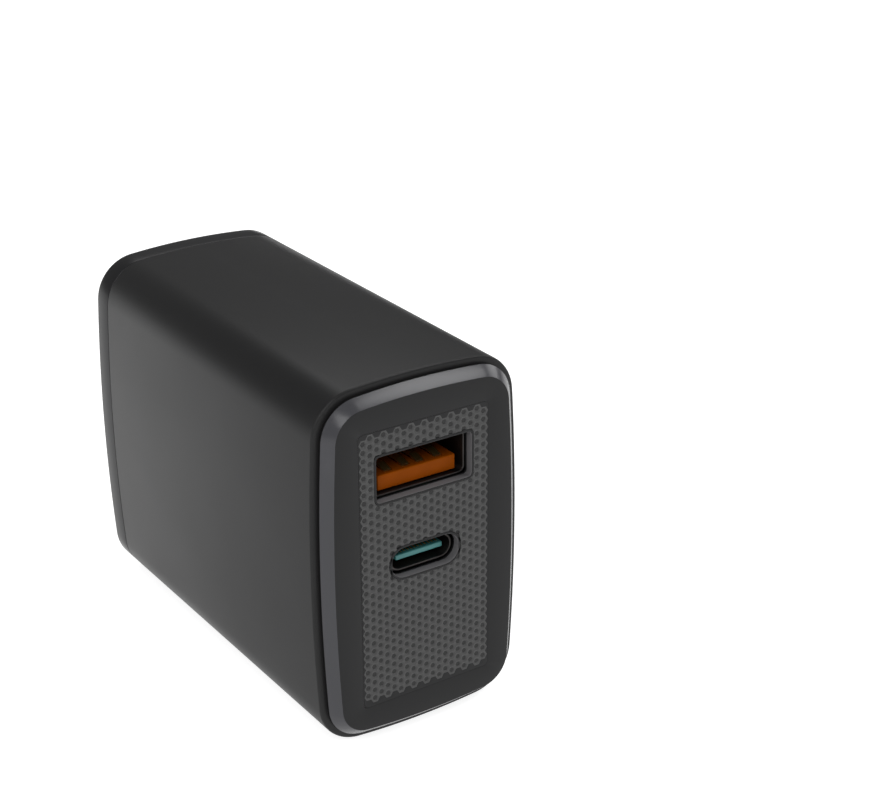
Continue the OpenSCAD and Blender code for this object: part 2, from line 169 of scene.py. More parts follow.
# Mould grain: pits as a bump, and the roughness that goes with them
mould_grain, start, end = shared_effect(
    "mould_grain",
    [("Grains per metre", FLOAT, 6000.0), ("Depth", FLOAT, 0.2), ("Roughness", FLOAT, 0.45),
     ("Variation", FLOAT, 0.1)],
    [("Normal", NORMAL), ("Roughness", FLOAT), ("Mask", FLOAT)])
where = keyed(mould_grain, "ShaderNodeTexCoord", (-900, 300))
pits = keyed(mould_grain, "ShaderNodeTexNoise", (-600, 200))
pits.inputs["Detail"].default_value = 3.0
bump = keyed(mould_grain, "ShaderNodeBump", (200, 200))
bump.inputs["Distance"].default_value = 0.02 * MM
smears = keyed(mould_grain, "ShaderNodeTexNoise", (-600, -200))
smears.inputs["Scale"].default_value = 60.0
smears.inputs["Detail"].default_value = 4.0
centred = keyed(mould_grain, "ShaderNodeMath", (-300, -200), operation="SUBTRACT")
centred.inputs[1].default_value = 0.5
swing = keyed(mould_grain, "ShaderNodeMath", (-100, -200), operation="MULTIPLY")
total = keyed(mould_grain, "ShaderNodeMath", (200, -200), operation="ADD")
link = mould_grain.links.new
link(where.outputs["Object"], pits.inputs["Vector"])
link(where.outputs["Object"], smears.inputs["Vector"])
link(start.outputs["Grains per metre"], pits.inputs["Scale"])
link(start.outputs["Depth"], bump.inputs["Strength"])
link(pits.outputs["Fac"], bump.inputs["Height"])
link(smears.outputs["Fac"], centred.inputs[0])
link(centred.outputs[0], swing.inputs[0])
link(start.outputs["Variation"], swing.inputs[1])
link(swing.outputs[0], total.inputs[0])
link(start.outputs["Roughness"], total.inputs[1])
link(bump.outputs["Normal"], end.inputs["Normal"])
link(total.outputs[0], end.inputs["Roughness"])
link(smears.outputs["Fac"], end.inputs["Mask"])

# Edge wear and painted highlight: a mask that is 1 on rubbed convex edges, broken up along their
# length. The paler colour it gives them is partly wear and partly a painted highlight
edge_wear_and_highlight, start, end = shared_effect(
    "edge_wear_and_highlight", [("Amount", FLOAT, 0.5), ("Base", COLOUR, (0.1, 0.1, 0.1, 1)),
                  ("Worn and lit", COLOUR, (0.2, 0.2, 0.2, 1))], [("Color", COLOUR), ("Mask", FLOAT)])
shape = keyed(edge_wear_and_highlight, "ShaderNodeNewGeometry", (-900, 300))
ridge = keyed(edge_wear_and_highlight, "ShaderNodeMapRange", (-600, 300))
ridge.inputs["From Min"].default_value = 0.52
ridge.inputs["From Max"].default_value = 0.62
where = keyed(edge_wear_and_highlight, "ShaderNodeTexCoord", (-900, -300))
patches = keyed(edge_wear_and_highlight, "ShaderNodeTexNoise", (-600, -100))
patches.inputs["Scale"].default_value = 350.0
patches.inputs["Detail"].default_value = 5.0
broken = keyed(edge_wear_and_highlight, "ShaderNodeMapRange", (-350, -100))
broken.inputs["From Min"].default_value = 0.4
broken.inputs["From Max"].default_value = 0.62
both = keyed(edge_wear_and_highlight, "ShaderNodeMath", (-100, 200), operation="MULTIPLY")
amount = keyed(edge_wear_and_highlight, "ShaderNodeMath", (100, 200), operation="MULTIPLY")
tint = keyed(edge_wear_and_highlight, "ShaderNodeMix", (350, 100), data_type="RGBA")
link = edge_wear_and_highlight.links.new
link(shape.outputs["Pointiness"], ridge.inputs["Value"])
link(where.outputs["Object"], patches.inputs["Vector"])
link(patches.outputs["Fac"], broken.inputs["Value"])
link(ridge.outputs["Result"], both.inputs[0])
link(broken.outputs["Result"], both.inputs[1])
link(both.outputs[0], amount.inputs[0])
link(start.outputs["Amount"], amount.inputs[1])
link(amount.outputs[0], tint.inputs["Factor"])
link(start.outputs["Base"], tint.inputs["A"])
link(start.outputs["Worn and lit"], tint.inputs["B"])
link(tint.outputs["Result"], end.inputs["Color"])
link(amount.outputs[0], end.inputs["Mask"])


def moulded(name, colour, roughness, grains=6000, depth=0.2, variation=0.1, wear_and_highlight=0.4,
            worn_and_lit=2.0, specular=0.5, coat=0.0, coat_roughness=0.1):
    """Moulded plastic: colour, gloss, grain, and rubbed edges whose paler colour is also a painted
    highlight.
    """
    material, tree, shader = new_material(name)
    grain = keyed(tree, "ShaderNodeGroup", (-400, -200), node_tree=mould_grain)
    grain.inputs["Grains per metre"].default_value = grains
    grain.inputs["Depth"].default_value = depth
    grain.inputs["Roughness"].default_value = roughness
    grain.inputs["Variation"].default_value = variation
    # Convex edges are paled: partly rubbed wear, partly a painted highlight.
    rubbed_and_lit = keyed(tree, "ShaderNodeGroup", (-400, 200), node_tree=edge_wear_and_highlight)
    rubbed_and_lit.inputs["Amount"].default_value = wear_and_highlight
    rubbed_and_lit.inputs["Base"].default_value = (*colour, 1)
    rubbed_and_lit.inputs["Worn and lit"].default_value = (*[min(1, c * worn_and_lit) for c in colour], 1)
    tree.links.new(rubbed_and_lit.outputs["Color"], shader.inputs["Base Color"])
    tree.links.new(grain.outputs["Roughness"], shader.inputs["Roughness"])
    tree.links.new(grain.outputs["Normal"], shader.inputs["Normal"])
    shader.inputs["Specular IOR Level"].default_value = specular
    shader.inputs["Coat Weight"].default_value = coat
    shader.inputs["Coat Roughness"].default_value = coat_roughness
    return material


# ---- Shapes that follow the case outline ----
# The case section is four slightly bulged sides joined by round corners. A profile of (inset,
# depth) points is swept round it, so every shell, ring and band shares the same outline.
CORNER_R = 5.8 * MM
LONG_BULGE = 0.55 * MM
SHORT_BULGE = 0.35 * MM
sleeve_low, sleeve_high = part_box("sleeve")
CASE_W = sleeve_high.x - sleeve_low.x
CASE_H = sleeve_high.z - sleeve_low.z


def arc(bm, vert, centre, angle, steps, axis=(0, -1, 0)):
    """Sweeps a vertex about a centre and gives the last vertex."""
    swept = bmesh.ops.spin(bm, geom=[vert], cent=centre, axis=axis, angle=angle,
                           steps=steps, use_duplicate=False)
    return next(v for v in swept["geom_last"] if isinstance(v, bmesh.types.BMVert))


def case_loop(bm, inset, y):
    """The case outline moved in by inset at depth y, as a closed loop of edges."""
    cx = CASE_W / 2 - CORNER_R - LONG_BULGE
    cz = CASE_H / 2 - CORNER_R - SHORT_BULGE
    long_r = (cz ** 2 + LONG_BULGE ** 2) / (2 * LONG_BULGE)
    short_r = (cx ** 2 + SHORT_BULGE ** 2) / (2 * SHORT_BULGE)
    long_turn = math.asin(cz / long_r)
    short_turn = math.asin(cx / short_r)
    old = set(bm.edges)
    vert = bm.verts.new((CASE_W / 2 - inset, y, 0))
    vert = arc(bm, vert, (CASE_W / 2 - CORNER_R - long_r, y, 0), long_turn, 10)
    vert = arc(bm, vert, (cx, y, cz), math.pi / 2 - short_turn - long_turn, 14)
    arc(bm, vert, (0, y, CASE_H / 2 - CORNER_R - short_r), short_turn, 6)
    for axis in "XZ":
        quarter = [e for e in bm.edges if e not in old]
        points = list({v for e in quarter for v in e.verts})
        bmesh.ops.mirror(bm, geom=points + quarter, matrix=Matrix.Identity(4),
                         merge_dist=1e-5, axis=axis)
    return [e for e in bm.edges if e not in old]


def join_loops(bm, a, b):
    """Bridges two loops. They are drawn apart meanwhile, so that they pair up point for point."""
    moved = list({v for e in b for v in e.verts})
    apart = Vector((0, 50 * MM, 0))
    if moved[0].co.y < a[0].verts[0].co.y:
        apart.negate()
    bmesh.ops.translate(bm, verts=moved, vec=apart)
    bmesh.ops.bridge_loops(bm, edges=a + b)
    bmesh.ops.translate(bm, verts=moved, vec=-apart)


def sweep(bm, loops, closed):
    """Skins a row of edge loops, and either joins the last to the first or fills both ends."""
    pairs = list(zip(loops, loops[1:]))
    if closed:
        pairs.append((loops[-1], loops[0]))
    for a, b in pairs:
        join_loops(bm, a, b)
    if not closed:
        for loop in (loops[0], loops[-1]):
            bmesh.ops.contextual_create(bm, geom=loop)
    bmesh.ops.recalc_face_normals(bm, faces=bm.faces)


def soften(bm, radius, steps=3, angle=25, only=None):
    """Rounds the edges that turn by more than angle."""
    sharp = [e for e in bm.edges if len(e.link_faces) == 2
             and e.calc_face_angle(0) > math.radians(angle) and (only is None or only(e))]
    bmesh.ops.bevel(bm, geom=sharp, offset=radius, segments=steps, profile=0.5,
                    affect="EDGES", material=-1, clamp_overlap=True)


def piece(name, bm, *materials, sharp=40):
    """Makes the bmesh a named object at the origin, with smooth shading up to sharp degrees."""
    mesh = bpy.data.meshes.new(name)
    bm.to_mesh(mesh)
    bm.free()
    for material in materials:
        mesh.materials.append(material)
    mesh.shade_smooth()
    mesh.set_sharp_from_angle(angle=math.radians(sharp))
    obj = bpy.data.objects.new(name, mesh)
    bpy.context.scene.collection.objects.link(obj)
    return obj


def stands_for(obj, node, body=BODY):
    """The piece rides its body and stands for its CAD node."""
    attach(obj, body)
    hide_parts(node)


def edge_at(axis, value, tolerance=1e-5):
    """A test for edges whose two ends lie at value along that axis."""
    return lambda e: all(abs(v.co[axis] - value) < tolerance for v in e.verts)


# ---- Sleeve ----
# The tube that makes the four side walls, moulded in dark grey polycarbonate with a fine spark
# texture. Its front edge is rounded, and the rear cap is welded to its rear edge.
WALL = 1.8 * MM
SLEEVE_FRONT_ROUND = 0.3 * MM
SLEEVE_REAR_ROUND = 0.12 * MM
sleeve_front = sleeve_low.y
sleeve_rear = sleeve_high.y
sleeve_plastic = moulded("sleeve_plastic", (0.015, 0.015, 0.0153), 0.42, grains=5000, depth=0.25,
                         variation=0.08, wear_and_highlight=0.3, worn_and_lit=1.8, specular=0.18)
bm = bmesh.new()
sweep(bm, [case_loop(bm, inset, y) for inset, y in (
    (0, sleeve_front), (0, sleeve_rear), (WALL, sleeve_rear), (WALL, sleeve_front))], closed=True)
soften(bm, SLEEVE_FRONT_ROUND, 4, only=edge_at(1, sleeve_front))
soften(bm, SLEEVE_REAR_ROUND, 3, only=edge_at(1, sleeve_rear))
sleeve = piece("sleeve_shell", bm, sleeve_plastic)
stands_for(sleeve, "sleeve")

# ---- Front collar ----
# A matt ring in the gap between plate and sleeve, coloured near black as painted shade in the
# gap. Its skirt snaps into the sleeve with four tabs, and the front plate is glued to it.
collar_low, collar_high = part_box("front_collar")
COLLAR_RING_INSET = 1.0 * MM
SKIRT_INSET = WALL + 0.05 * MM
SKIRT_INNER = 3.2 * MM
# Near black as painted shade in the gap between plate and sleeve.
collar_shade_black = moulded("collar_shade_black", (0.005, 0.005, 0.005), 0.6, wear_and_highlight=0.0, specular=0.15)
bm = bmesh.new()
sweep(bm, [case_loop(bm, inset, y) for inset, y in (
    (COLLAR_RING_INSET, collar_low.y), (COLLAR_RING_INSET, sleeve_front),
    (SKIRT_INSET, sleeve_front), (SKIRT_INSET, collar_high.y),
    (SKIRT_INNER, collar_high.y), (SKIRT_INNER, collar_low.y))], closed=True)
soften(bm, 0.08 * MM, 2)
TAB_SIZE = Vector((1.2, 1.0, 5.0)) * MM
tab_x = 12.4 * MM
tab_y = sleeve_front + 3.3 * MM
tab_z = 12 * MM
for side_x in (-1, 1):
    for side_z in (-1, 1):
        tab = bmesh.ops.create_cube(bm, size=1)["verts"]
        bmesh.ops.scale(bm, verts=tab, vec=TAB_SIZE)
        bmesh.ops.translate(bm, verts=tab, vec=(side_x * tab_x, tab_y, side_z * tab_z))
collar = piece("front_collar_ring", bm, collar_shade_black)
stands_for(collar, "front_collar")

# ---- Front plate ----
# A smooth dark bezel with a wide bevel round its edge, a shallow pocket for the textured panel,
# and a raised frame round each port that passes through the panel. The polished bevel is coloured
# lighter than the bezel as a painted highlight, and so is the front band of each port's throat.
plate_low, plate_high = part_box("front_plate")
face_y = plate_low.y
plate_back = sleeve_front - 0.55 * MM
FACE_INSET = 2.0 * MM
BEVEL_INSET = 0.85 * MM
POCKET_W = 18 * MM
POCKET_H = 35.8 * MM
POCKET_R = 0.6 * MM
POCKET_DEPTH = 0.5 * MM
FRAME_T = 0.34 * MM
FRAME_ROUND = 0.1 * MM
# Depth of the band at the front of each port's throat that is coloured lighter as a painted highlight.
LIT_THROAT_DEPTH = 1.05 * MM
USB_A_W = 13.2 * MM
USB_A_H = 5.8 * MM
USB_A_R = 0.5 * MM
USB_A_Z = 11.65 * MM
USB_C_W = 9.55 * MM
USB_C_H = 3.9 * MM
POCKET_ROUND = 0.05 * MM
USB_C_R = 1.94 * MM
USB_C_Z = 0.1 * MM
PORTS = ((USB_A_W, USB_A_H, USB_A_R, USB_A_Z), (USB_C_W, USB_C_H, USB_C_R, USB_C_Z))


def port_face(bm, w, h, r, z, y, grow=0.0, steps=8):
    """A flat rectangle with round corners, centred at height z, grown by grow all round."""
    corners = [bm.verts.new((sx * (w / 2 + grow), y, z + sz * (h / 2 + grow)))
               for sx, sz in ((1, 1), (-1, 1), (-1, -1), (1, -1))]
    bm.faces.new(corners)
    rounded = bmesh.ops.bevel(bm, geom=corners, offset=r + grow, segments=steps, profile=0.5,
                              affect="VERTICES", material=-1, clamp_overlap=True)
    return next(f for f in rounded["verts"][0].link_faces)


def pull(bm, edges, depth):
    """Extrudes a loop of edges along the depth, and gives the new loop."""
    made = bmesh.ops.extrude_edge_only(bm, edges=edges)["geom"]
    verts = [v for v in made if isinstance(v, bmesh.types.BMVert)]
    bmesh.ops.translate(bm, verts=verts, vec=(0, depth, 0))
    return [e for e in made if isinstance(e, bmesh.types.BMEdge) and set(e.verts) <= set(verts)]


def fill_between(bm, outer, *holes):
    """Fills a flat region between an outer loop and the loops inside it."""
    edges = list(outer)
    for hole in holes:
        edges += hole
    bmesh.ops.triangle_fill(bm, use_beauty=True, use_dissolve=False, edges=edges)


plate_plastic = moulded("plate_plastic", (0.011, 0.011, 0.0115), 0.3, grains=9000, depth=0.06,
                        variation=0.1, wear_and_highlight=0.3, worn_and_lit=1.6, specular=0.18)
bm = bmesh.new()
back = case_loop(bm, BEVEL_INSET, plate_back)
front = case_loop(bm, FACE_INSET, face_y)
# The outer bevel takes the lighter bevel colour: a painted highlight.
for f in bmesh.ops.bridge_loops(bm, edges=back + front)["faces"]:
    f.material_index = 2
pocket = port_face(bm, POCKET_W, POCKET_H, POCKET_R, 0, face_y)
pocket_rim = list(pocket.edges)
bmesh.ops.delete(bm, geom=[pocket], context="FACES_ONLY")
fill_between(bm, front, pocket_rim)
pocket_floor = pull(bm, pocket_rim, POCKET_DEPTH)
feet = []
throats = []
lit_throat_faces = set()
for port in PORTS:
    lip = port_face(bm, *port, face_y, FRAME_T)
    feet.append(pull(bm, list(lip.edges), POCKET_DEPTH))
    bmesh.ops.inset_individual(bm, faces=[lip], thickness=FRAME_T, use_even_offset=True)
    lit_throat_end = pull(bm, list(lip.edges), LIT_THROAT_DEPTH)
    lit_throat_faces.update(f for e in lit_throat_end for f in e.link_faces)
    throats.append(pull(bm, lit_throat_end, plate_back - face_y - LIT_THROAT_DEPTH))
    bmesh.ops.delete(bm, geom=[lip], context="FACES_ONLY")
fill_between(bm, pocket_floor, *feet)
fill_between(bm, back, *throats)
# The front band of each throat takes the lighter colour: a painted highlight of the lit throat walls.
for f in lit_throat_faces:
    f.material_index = 1
bmesh.ops.recalc_face_normals(bm, faces=bm.faces)
in_panel = edge_at(1, face_y)


def on_case_outline(e):
    """True for edges outside the pocket."""
    return all(abs(v.co.x) > POCKET_W / 2 + MM or abs(v.co.z) > POCKET_H / 2 + MM
               for v in e.verts)


soften(bm, 0.16 * MM, 4, only=on_case_outline)
soften(bm, FRAME_ROUND, 4, only=lambda e: in_panel(e) and not on_case_outline(e)
       and max(abs(v.co.z) for v in e.verts) < POCKET_H / 2 - MM
       and max(abs(v.co.x) for v in e.verts) < POCKET_W / 2 - MM)
soften(bm, POCKET_ROUND, 3, only=lambda e: in_panel(e) and e.calc_face_angle(0) > 1 and all(
    abs(abs(v.co.x) - POCKET_W / 2) < POCKET_R + 0.01 * MM
    or abs(abs(v.co.z) - POCKET_H / 2) < POCKET_R + 0.01 * MM for v in e.verts) and all(
    abs(v.co.x) < POCKET_W / 2 + 0.01 * MM and abs(v.co.z) < POCKET_H / 2 + 0.01 * MM
    for v in e.verts))
# A lighter colour for the front of the port throats: a painted highlight of the lit throat walls.
throat_highlight_plastic = moulded("throat_highlight_plastic", (0.11, 0.108, 0.112), 0.45, grains=9000, depth=0.1,
                         wear_and_highlight=0.2, specular=0.18)
# The bevel is polished, and its colour is lighter than the plate's as a painted highlight.
polished_bevel_highlight = moulded("polished_bevel_highlight", (0.05, 0.05, 0.055), 0.24, grains=9000, depth=0.04,
                         variation=0.08, wear_and_highlight=0.2, worn_and_lit=1.4, specular=0.22)
front_plate = piece("front_plate_bezel", bm, plate_plastic, throat_highlight_plastic, polished_bevel_highlight,
                    sharp=30)
stands_for(front_plate, "front_plate")

# ---- Textured panel ----
# An inlay of the same plastic whose face carries a honeycomb: six-sided dimples between narrow
# roof-shaped ribs. The ribs are coloured lighter as a painted highlight, and the dimples darker as
# painted shade. The border of the field follows whole cells, and the ports cut through it.
CELL_PITCH = 1.066 * MM
COLUMN_PITCH = CELL_PITCH * math.sqrt(3) / 2
COLUMNS = 9
ROWS = 16
FIELD_Z = 0.15 * MM
RIB_SLOPE_W = 0.2 * MM
RIB_SLOPE_D = 0.08 * MM
DIMPLE_WALL_W = 0.06 * MM
DIMPLE_D = 0.09 * MM
PANEL_GAP = 0.01 * MM
panel_low, panel_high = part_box("texture_panel")
# Ribs lighter than the plate as a painted highlight; dimple floors darker as painted shade.
panel_plastic = moulded("panel_plastic", (0.062, 0.062, 0.062), 0.5, grains=9000, depth=0.15,
                        variation=0.1, wear_and_highlight=0.5, worn_and_lit=1.5, specular=0.2)
dimple_shade_plastic = moulded("dimple_shade_plastic", (0.03, 0.03, 0.03), 0.5, grains=9000, depth=0.15,
                         wear_and_highlight=0.0, specular=0.2)


def honeycomb(bm):
    """Adds the field of cells."""
    for column in range(-COLUMNS, COLUMNS + 1):
        odd = column % 2
        for row in range(-ROWS, ROWS + 1 - odd):
            ring = bmesh.ops.create_circle(bm, cap_ends=True, segments=6,
                                           radius=CELL_PITCH / math.sqrt(3))["verts"]
            bmesh.ops.rotate(bm, verts=ring, cent=(0, 0, 0),
                             matrix=Matrix.Rotation(math.pi / 6, 3, "Z"))
            bmesh.ops.rotate(bm, verts=ring, cent=(0, 0, 0),
                             matrix=Matrix.Rotation(math.pi / 2, 3, "X"))
            bmesh.ops.translate(bm, verts=ring, vec=(
                column * COLUMN_PITCH, panel_low.y,
                FIELD_Z + (row + odd / 2) * CELL_PITCH))
    bmesh.ops.remove_doubles(bm, verts=bm.verts, dist=CELL_PITCH / 50)


def onto_outline(made):
    """Moves the new vertices straight out to the round-cornered outline of the panel."""
    w, h = POCKET_W / 2 - PANEL_GAP, POCKET_H / 2 - PANEL_GAP
    for v in made:
        if not isinstance(v, bmesh.types.BMVert):
            continue
        x, z = abs(v.co.x), abs(v.co.z)
        over_x, over_z = x - w + POCKET_R, z - h + POCKET_R
        if min(over_x, over_z) > 0:
            share = POCKET_R / math.hypot(over_x, over_z)
            x, z = w - POCKET_R + over_x * share, h - POCKET_R + over_z * share
        elif over_x > over_z:
            x = w
        else:
            z = h
        v.co.x, v.co.z = math.copysign(x, v.co.x), math.copysign(z, v.co.z)


bm = bmesh.new()
honeycomb(bm)
cells = list(bm.faces)
bmesh.ops.recalc_face_normals(bm, faces=cells)
if cells[0].normal.y > 0:
    bmesh.ops.reverse_faces(bm, faces=cells)
ragged_edge = [e for e in bm.edges if e.is_boundary]
onto_outline(bmesh.ops.extrude_edge_only(bm, edges=ragged_edge)["geom"])
slanted = [e for e in bm.edges if e.is_boundary
           and min(abs(c) for c in (e.verts[0].co - e.verts[1].co).xz) > 0.01 * MM]
onto_outline(bmesh.ops.subdivide_edges(bm, edges=slanted, cuts=12)["geom_inner"])
border = [f for f in bm.faces if f not in set(cells)]
for f in border:
    f.material_index = 2
bmesh.ops.inset_individual(bm, faces=cells, thickness=RIB_SLOPE_W, depth=-RIB_SLOPE_D,
                           use_even_offset=True)
bmesh.ops.inset_individual(bm, faces=cells, thickness=DIMPLE_WALL_W, depth=-DIMPLE_D,
                           use_even_offset=True)
# The dimple floors take the darker colour: painted shade.
for f in cells:
    f.material_index = 1
back_rim = pull(bm, [e for e in bm.edges if e.is_boundary], panel_high.y - panel_low.y)
bmesh.ops.contextual_create(bm, geom=back_rim)
bmesh.ops.recalc_face_normals(bm, faces=bm.faces)
panel = piece("honeycomb_panel", bm, panel_plastic, dimple_shade_plastic, plate_plastic, sharp=15)


def cut_by(obj, cutters, operation="DIFFERENCE"):
    """Takes the shapes of the cutters out of a piece, or joins them to it, for good."""
    for cutter in cutters:
        tool = piece("cutter", cutter)
        modifier = obj.modifiers.new("cut", "BOOLEAN")
        modifier.operation = operation
        modifier.solver = "EXACT"
        modifier.object = tool
        result = bpy.data.meshes.new_from_object(
            obj.evaluated_get(bpy.context.evaluated_depsgraph_get()))
        obj.modifiers.clear()
        old = obj.data
        obj.data = result
        bpy.data.meshes.remove(old)
        bpy.data.objects.remove(tool)
    obj.data.name = obj.name
    obj.data.shade_smooth()
    obj.data.set_sharp_from_angle(angle=math.radians(30))


def prism(w, h, r, z, y0, y1, grow=0.0):
    """A solid with the shape of a port, from depth y0 to y1."""
    bm = bmesh.new()
    near = port_face(bm, w, h, r, z, y0, grow)
    far_edges = pull(bm, list(near.edges), y1 - y0)
    bmesh.ops.contextual_create(bm, geom=far_edges)
    bmesh.ops.recalc_face_normals(bm, faces=bm.faces)
    return bm


cut_by(panel, [prism(*port, panel_low.y - MM, panel_high.y + MM, FRAME_T + 0.02 * MM)
               for port in PORTS])
stands_for(panel, "texture_panel")

# ---- USB-A receptacle ----
# A stamped shell of black nickel plated steel, soldered to the port board, with sprung fingers cut in
# its walls. Inside it an orange tongue is moulded on a block, and carries four leaf springs.
A_SHELL_W = 13.1 * MM
A_SHELL_H = 5.7 * MM
A_SHELL_R = 0.9 * MM
SHELL_T = 0.3 * MM
FIT = 0.05 * MM
FINGER_W = 2.2 * MM
FINGER_L = 6.5 * MM
FINGER_SLOT = 0.45 * MM
a_shell_low, a_shell_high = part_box("usb_a_shell")
a_tongue_low, a_tongue_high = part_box("usb_a_tongue")

# Rolled metal: fine lines along the depth, cloudy gloss, and a duller colour in patches
rolled_metal, start, end = shared_effect(
    "rolled_metal",
    [("Lines per metre", FLOAT, 9000.0), ("Depth", FLOAT, 0.1), ("Roughness", FLOAT, 0.25),
     ("Variation", FLOAT, 0.1), ("Base", COLOUR, (0.6, 0.6, 0.6, 1)),
     ("Dull", COLOUR, (0.4, 0.4, 0.4, 1))],
    [("Normal", NORMAL), ("Roughness", FLOAT), ("Color", COLOUR)])
where = keyed(rolled_metal, "ShaderNodeTexCoord", (-1100, 0))
drawn = keyed(rolled_metal, "ShaderNodeMapping", (-800, 200))
drawn.inputs["Scale"].default_value = (1, 0.04, 1)
lines = keyed(rolled_metal, "ShaderNodeTexNoise", (-500, 200))
lines.inputs["Detail"].default_value = 2.0
bump = keyed(rolled_metal, "ShaderNodeBump", (200, 200))
bump.inputs["Distance"].default_value = 0.01 * MM
clouds = keyed(rolled_metal, "ShaderNodeTexNoise", (-500, -200))
clouds.inputs["Scale"].default_value = 220.0
clouds.inputs["Detail"].default_value = 5.0
centred = keyed(rolled_metal, "ShaderNodeMath", (-250, -200), operation="SUBTRACT")
centred.inputs[1].default_value = 0.5
swing = keyed(rolled_metal, "ShaderNodeMath", (-50, -200), operation="MULTIPLY")
total = keyed(rolled_metal, "ShaderNodeMath", (200, -200), operation="ADD")
patches = keyed(rolled_metal, "ShaderNodeMapRange", (-250, -450))
patches.inputs["From Min"].default_value = 0.45
patches.inputs["From Max"].default_value = 0.7
tint = keyed(rolled_metal, "ShaderNodeMix", (200, -450), data_type="RGBA")
link = rolled_metal.links.new
link(where.outputs["Object"], drawn.inputs["Vector"])
link(where.outputs["Object"], clouds.inputs["Vector"])
link(drawn.outputs["Vector"], lines.inputs["Vector"])
link(start.outputs["Lines per metre"], lines.inputs["Scale"])
link(lines.outputs["Fac"], bump.inputs["Height"])
link(start.outputs["Depth"], bump.inputs["Strength"])
link(clouds.outputs["Fac"], centred.inputs[0])
link(centred.outputs[0], swing.inputs[0])
link(start.outputs["Variation"], swing.inputs[1])
link(swing.outputs[0], total.inputs[0])
link(start.outputs["Roughness"], total.inputs[1])
link(clouds.outputs["Fac"], patches.inputs["Value"])
link(patches.outputs["Result"], tint.inputs["Factor"])
link(start.outputs["Base"], tint.inputs["A"])
link(start.outputs["Dull"], tint.inputs["B"])
link(bump.outputs["Normal"], end.inputs["Normal"])
link(total.outputs[0], end.inputs["Roughness"])
link(tint.outputs["Result"], end.inputs["Color"])


def rolled(name, colour, dull, roughness, lines=9000, depth=0.1, variation=0.1):
    """Bare or plated metal with rolling lines and duller patches."""
    material, tree, shader = new_material(name)
    group = keyed(tree, "ShaderNodeGroup", (-400, 0), node_tree=rolled_metal)
    group.inputs["Lines per metre"].default_value = lines
    group.inputs["Depth"].default_value = depth
    group.inputs["Roughness"].default_value = roughness
    group.inputs["Variation"].default_value = variation
    group.inputs["Base"].default_value = (*colour, 1)
    group.inputs["Dull"].default_value = (*dull, 1)
    tree.links.new(group.outputs["Color"], shader.inputs["Base Color"])
    tree.links.new(group.outputs["Roughness"], shader.inputs["Roughness"])
    tree.links.new(group.outputs["Normal"], shader.inputs["Normal"])
    shader.inputs["Metallic"].default_value = 1.0
    return material


def tube(w, h, r, z, y0, y1, wall):
    """A round-cornered tube with open ends."""
    bm = bmesh.new()
    ends = []
    for grow in (0, -wall):
        mouth = port_face(bm, w, h, r, z, y0, grow)
        front = list(mouth.edges)
        bmesh.ops.delete(bm, geom=[mouth], context="FACES_ONLY")
        ends.append((front, pull(bm, front, y1 - y0)))
    for outer, inner in zip(*ends):
        join_loops(bm, outer, inner)
    bmesh.ops.recalc_face_normals(bm, faces=bm.faces)
    soften(bm, wall / 3, 2, angle=60)
    return bm


def finger_slot(x, y, z):
    """The U-shaped slot that frees one sprung finger, as a cutter through the wall at z."""
    bm = bmesh.new()
    half = FINGER_W / 2
    outside = half + FINGER_SLOT
    corners = [(-outside, 0), (-outside, FINGER_L), (-half, FINGER_L), (-half, FINGER_SLOT),
               (half, FINGER_SLOT), (half, FINGER_L), (outside, FINGER_L), (outside, 0)]
    face = bm.faces.new([bm.verts.new((x + cx, y + cy, z - MM)) for cx, cy in corners])
    raised = bmesh.ops.extrude_face_region(bm, geom=[face])["geom"]
    bmesh.ops.translate(bm, verts=[v for v in raised if isinstance(v, bmesh.types.BMVert)],
                        vec=(0, 0, 2 * MM))
    bmesh.ops.recalc_face_normals(bm, faces=bm.faces)
    return bm


shell_steel = rolled("black_nickel_shell", (0.075, 0.07, 0.068), (0.05, 0.047, 0.045), 0.4, lines=12000,
                     depth=0.1, variation=0.16)
usb_a_shell = piece("usb_a_socket_shell", tube(
    A_SHELL_W, A_SHELL_H, A_SHELL_R, USB_A_Z, a_shell_low.y, a_shell_high.y, SHELL_T), shell_steel)
cut_by(usb_a_shell, [finger_slot(x, a_shell_low.y + 2 * MM, z)
                     for x in (-3 * MM, 3 * MM) for z in (a_shell_low.z, a_shell_high.z)])
stands_for(usb_a_shell, "usb_a_shell")


def block(low, high, radius=0.0, steps=3):
    """A block between two corners, with rounded edges."""
    bm = bmesh.new()
    bmesh.ops.create_cube(bm, size=1)
    low, high = Vector(low), Vector(high)
    bmesh.ops.scale(bm, verts=bm.verts, vec=high - low)
    bmesh.ops.translate(bm, verts=bm.verts, vec=(low + high) / 2)
    if radius:
        soften(bm, radius, steps)
    return bm


A_TONGUE_HALF_W = 5.4 * MM
A_TONGUE_TOP = USB_A_Z - 0.35 * MM
A_TONGUE_BOTTOM = USB_A_Z - 2.28 * MM
A_ROOT_Y = a_tongue_high.y - 3 * MM
A_SLOT_W = 1.2 * MM
A_SLOT_DEPTH = 1.05 * MM
A_CONTACT_X = (-3.5 * MM, -1 * MM, 1 * MM, 3.5 * MM)
orange_plastic = moulded("orange_plastic", (0.22, 0.046, 0.0003), 0.42, grains=14000, depth=0.08,
                         variation=0.15, wear_and_highlight=0.25, worn_and_lit=1.3, specular=0.05)
bm = block((-A_TONGUE_HALF_W, a_tongue_low.y, A_TONGUE_BOTTOM),
           (A_TONGUE_HALF_W, A_ROOT_Y + 0.1 * MM, A_TONGUE_TOP), 0.14 * MM)
usb_a_tongue = piece("usb_a_orange_tongue", bm, orange_plastic)
root_w = A_SHELL_W - 2 * SHELL_T - 2 * FIT
root_h = A_SHELL_H - 2 * SHELL_T - 2 * FIT
cut_by(usb_a_tongue, [prism(root_w, root_h, 0.5 * MM, USB_A_Z, A_ROOT_Y, a_tongue_high.y)],
       "UNION")
